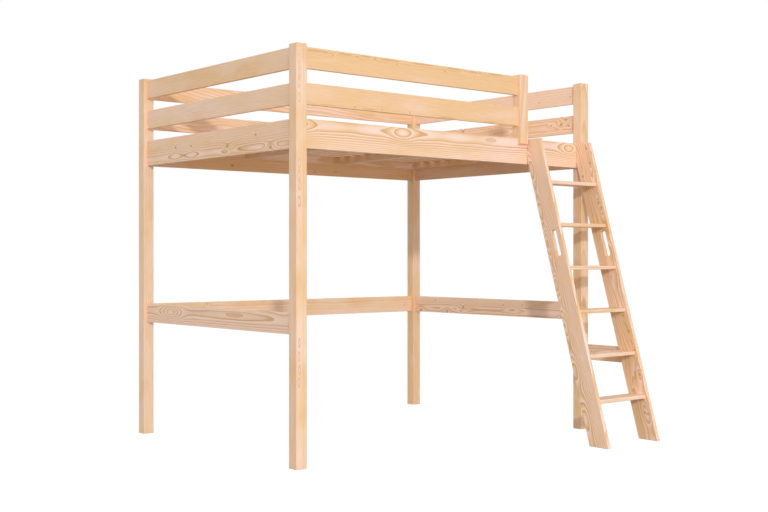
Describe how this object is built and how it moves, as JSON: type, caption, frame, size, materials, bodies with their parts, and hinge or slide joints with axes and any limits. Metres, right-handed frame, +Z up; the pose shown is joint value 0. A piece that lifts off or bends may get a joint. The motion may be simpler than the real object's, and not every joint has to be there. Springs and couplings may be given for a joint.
{
  "type": "double loft bed",
  "caption": "High double bed in solid pine on square legs, with guard rails all round, a slatted platform and a leaning ladder with hand slots.",
  "frame": {"origin": "middle of the whole footprint on the floor, the ladder included", "axes": "+X along the bed's long side to the right, seen from the ladder; +Y from the ladder side to the back; +Z up"},
  "size_m": [2.128, 2.1296, 2.045],
  "materials": {
    "post_pine": "planed clear pine, straight grain, matt oil",
    "rail_pine": "planed clear pine, flat-sawn figure, matt oil",
    "platform_pine": "planed unfinished pine",
    "ladder_pine": "planed clear pine, flat-sawn figure, matt oil",
    "zinc_steel": "bright zinc"
  },
  "bodies": {
    "root": {"post_front_left": "post_pine", "post_front_right": "post_pine", "post_back_left": "post_pine", "post_back_right": "post_pine", "entry_post": "post_pine", "top_guard_front": "rail_pine", "top_guard_left": "rail_pine", "top_guard_right": "rail_pine", "top_guard_back": "rail_pine", "lower_guard_front": "rail_pine", "lower_guard_left": "rail_pine", "lower_guard_right": "rail_pine", "lower_guard_back": "rail_pine", "bed_rail_front": "rail_pine", "bed_rail_left": "rail_pine", "bed_rail_right": "rail_pine", "bed_rail_back": "rail_pine", "middle_rail_left": "rail_pine", "middle_rail_right": "rail_pine", "middle_rail_back": "rail_pine", "ledger_front": "platform_pine", "ledger_back": "platform_pine", "ledger_left": "platform_pine", "ledger_right": "platform_pine", "bearer_1": "platform_pine", "bearer_2": "platform_pine", "slat_1": "platform_pine", "slat_2": "platform_pine", "slat_3": "platform_pine", "slat_4": "platform_pine", "slat_5": "platform_pine", "slat_6": "platform_pine", "slat_7": "platform_pine", "slat_8": "platform_pine", "slat_9": "platform_pine", "slat_10": "platform_pine", "slat_11": "platform_pine", "slat_12": "platform_pine", "slat_13": "platform_pine", "slat_14": "platform_pine", "stringer_left": "ladder_pine", "stringer_right": "ladder_pine", "tread_1": "ladder_pine", "tread_2": "ladder_pine", "tread_3": "ladder_pine", "tread_4": "ladder_pine", "tread_5": "ladder_pine", "tread_6": "ladder_pine", "ladder_brace": "ladder_pine", "bolt_front_rail_left": "zinc_steel", "bolt_front_rail_right": "zinc_steel", "bolt_back_rail_left": "zinc_steel", "bolt_back_rail_right": "zinc_steel", "bolt_left_rail_front": "zinc_steel", "bolt_left_rail_back": "zinc_steel", "bolt_right_rail_front": "zinc_steel", "bolt_right_rail_back": "zinc_steel", "ladder_screw_left": "zinc_steel", "ladder_screw_right": "zinc_steel", "entry_post_screw": "zinc_steel"}
  },
  "joints": []
}
